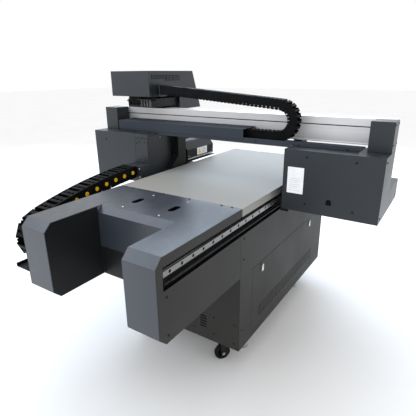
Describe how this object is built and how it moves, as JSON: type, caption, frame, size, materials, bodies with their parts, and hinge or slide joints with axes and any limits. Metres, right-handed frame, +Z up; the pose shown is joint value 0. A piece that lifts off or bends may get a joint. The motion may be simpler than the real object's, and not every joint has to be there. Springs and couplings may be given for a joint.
{
  "type": "flatbed uv printer",
  "caption": "Flatbed UV printer with a fixed vacuum table, a travelling gantry, a lifting print head carriage and a cabinet base on casters.",
  "frame": {"origin": "on the floor under the middle of the machine", "axes": "+Z up, +X right along the gantry beam seen from the front arms, +Y from the front arms to the rear of the print table"},
  "size_m": [1.516, 1.578, 1.292],
  "materials": {
    "cover_paint": "fine textured powder coat",
    "side_paint": "fine textured powder coat",
    "dark_paint": "matt powder coat",
    "housing_paint": "fine textured powder coat",
    "table_surface": "satin anodised",
    "aluminium": "clear anodised",
    "steel": "ground",
    "frame_steel": "matt",
    "black_plastic": "matt moulded",
    "rubber": "matt",
    "zinc": "zinc plated"
  },
  "bodies": {
    "base": {"welded_frame": "frame_steel", "arm_cover_left": "cover_paint", "arm_cover_right": "cover_paint", "arm_side_panel_left": "side_paint", "arm_side_panel_right": "side_paint", "middle_cover": "cover_paint", "recess_panel": "dark_paint", "cabinet_side_left": "side_paint", "cabinet_side_right": "side_paint", "cabinet_front": "side_paint", "cabinet_rear": "side_paint", "vacuum_table": "table_surface", "rear_cover": "cover_paint", "y_rail_left": "steel", "y_rail_right": "steel", "vacuum_blower": "dark_paint", "control_box": "zinc", "levelling_foot_front_left": "zinc", "levelling_foot_front_right": "zinc", "levelling_foot_rear_left": "zinc", "levelling_foot_rear_right": "zinc", "y_chain_tray": "dark_paint", "y_chain_lower": "black_plastic"},
    "gantry": {"gantry_housing_left": "housing_paint", "gantry_housing_right": "housing_paint", "gantry_upright_left": "dark_paint", "gantry_upright_right": "dark_paint", "beam_cap_left": "housing_paint", "beam_cap_right": "housing_paint", "gantry_beam": "aluminium", "chain_tray": "housing_paint", "chain_tray_cover": "cover_paint", "x_rail": "steel", "x_belt": "black_plastic", "capping_station": "black_plastic", "x_chain_lower": "black_plastic", "y_chain_upper": "black_plastic", "y_chain_bracket": "housing_paint"},
    "carriage": {"carriage_cover": "housing_paint", "carriage_saddle": "black_plastic", "chain_bracket": "aluminium", "x_chain_upper": "black_plastic"},
    "head": {"head_block": "black_plastic", "uv_lamp": "dark_paint", "head_base_plate": "aluminium"},
    "x_chain_loop": {"x_chain_bend": "black_plastic"},
    "y_chain_loop": {"y_chain_bend": "black_plastic"},
    "ball_screw_left": {"ball_screw_left": "steel"},
    "ball_screw_right": {"ball_screw_right": "steel"},
    "door": {"side_door": "side_paint"},
    "latch_front": {"door_latch_front": "zinc"},
    "latch_rear": {"door_latch_rear": "zinc"},
    "caster_front_left": {"caster_fork_front_left": "zinc"},
    "wheel_front_left": {"caster_wheel_front_left": "rubber"},
    "caster_front_right": {"caster_fork_front_right": "zinc"},
    "wheel_front_right": {"caster_wheel_front_right": "rubber"},
    "caster_rear_left": {"caster_fork_rear_left": "zinc"},
    "wheel_rear_left": {"caster_wheel_rear_left": "rubber"},
    "caster_rear_right": {"caster_fork_rear_right": "zinc"},
    "wheel_rear_right": {"caster_wheel_rear_right": "rubber"}
  },
  "joints": [
    {"name": "gantry_slide", "type": "slide", "parent": "base", "child": "gantry", "axis": [0, 1, 0], "range_m": [-0.55, 0.3], "deforming": ["y_chain_upper", "y_chain_lower"]},
    {"name": "carriage_slide", "type": "slide", "parent": "gantry", "child": "carriage", "axis": [1, 0, 0], "range_m": [0, 0.56], "deforming": ["x_chain_upper", "x_chain_lower"]},
    {"name": "head_lift", "type": "slide", "parent": "carriage", "child": "head", "axis": [0, 0, 1], "range_m": [0, 0.06]},
    {"name": "x_chain_roll", "type": "slide", "parent": "gantry", "child": "x_chain_loop", "axis": [1, 0, 0], "range_m": [0, 0.28]},
    {"name": "y_chain_roll", "type": "slide", "parent": "base", "child": "y_chain_loop", "axis": [0, 1, 0], "range_m": [-0.275, 0.15]},
    {"name": "door_hinge", "type": "hinge", "parent": "base", "child": "door", "pos_m": [0.318, 0.2315, 0.165], "axis": [0, 1, 0], "range_deg": [0, 95]},
    {"name": "screw_spin_left", "type": "hinge", "parent": "base", "child": "ball_screw_left", "pos_m": [-0.3085, 0, 0.694], "axis": [0, 1, 0], "range_deg": [-9910, 5410]},
    {"name": "screw_spin_right", "type": "hinge", "parent": "base", "child": "ball_screw_right", "pos_m": [0.3085, 0, 0.694], "axis": [0, 1, 0], "range_deg": [-9910, 5410]},
    {"name": "latch_turn_front", "type": "hinge", "parent": "door", "child": "latch_front", "pos_m": [0.32, -0.082, 0.452], "axis": [1, 0, 0], "range_deg": [0, 90]},
    {"name": "latch_turn_rear", "type": "hinge", "parent": "door", "child": "latch_rear", "pos_m": [0.32, 0.545, 0.452], "axis": [1, 0, 0], "range_deg": [0, 90]},
    {"name": "caster_swivel_front_left", "type": "hinge", "parent": "base", "child": "caster_front_left", "pos_m": [-0.215, -0.199, 0.1], "axis": [0, 0, 1], "continuous": true},
    {"name": "wheel_roll_front_left", "type": "hinge", "parent": "caster_front_left", "child": "wheel_front_left", "pos_m": [-0.234, -0.225, 0.0395], "axis": [-0.8074, 0.59, 0], "continuous": true},
    {"name": "caster_swivel_front_right", "type": "hinge", "parent": "base", "child": "caster_front_right", "pos_m": [0.215, -0.199, 0.1], "axis": [0, 0, 1], "continuous": true},
    {"name": "wheel_roll_front_right", "type": "hinge", "parent": "caster_front_right", "child": "wheel_front_right", "pos_m": [0.196, -0.225, 0.0395], "axis": [-0.8074, 0.59, 0], "continuous": true},
    {"name": "caster_swivel_rear_left", "type": "hinge", "parent": "base", "child": "caster_rear_left", "pos_m": [-0.215, 0.691, 0.1], "axis": [0, 0, 1], "continuous": true},
    {"name": "wheel_roll_rear_left", "type": "hinge", "parent": "caster_rear_left", "child": "wheel_rear_left", "pos_m": [-0.234, 0.665, 0.0395], "axis": [-0.8074, 0.59, 0], "continuous": true},
    {"name": "caster_swivel_rear_right", "type": "hinge", "parent": "base", "child": "caster_rear_right", "pos_m": [0.215, 0.691, 0.1], "axis": [0, 0, 1], "continuous": true},
    {"name": "wheel_roll_rear_right", "type": "hinge", "parent": "caster_rear_right", "child": "wheel_rear_right", "pos_m": [0.196, 0.665, 0.0395], "axis": [-0.8074, 0.59, 0], "continuous": true}
  ],
  "couplings": [
    {"joint": "x_chain_roll", "follows": "carriage_slide", "ratio": 0.5},
    {"joint": "y_chain_roll", "follows": "gantry_slide", "ratio": 0.5},
    {"joint": "screw_spin_left", "follows": "gantry_slide", "rad_per_m": 314.16},
    {"joint": "screw_spin_right", "follows": "gantry_slide", "rad_per_m": 314.16}
  ]
}
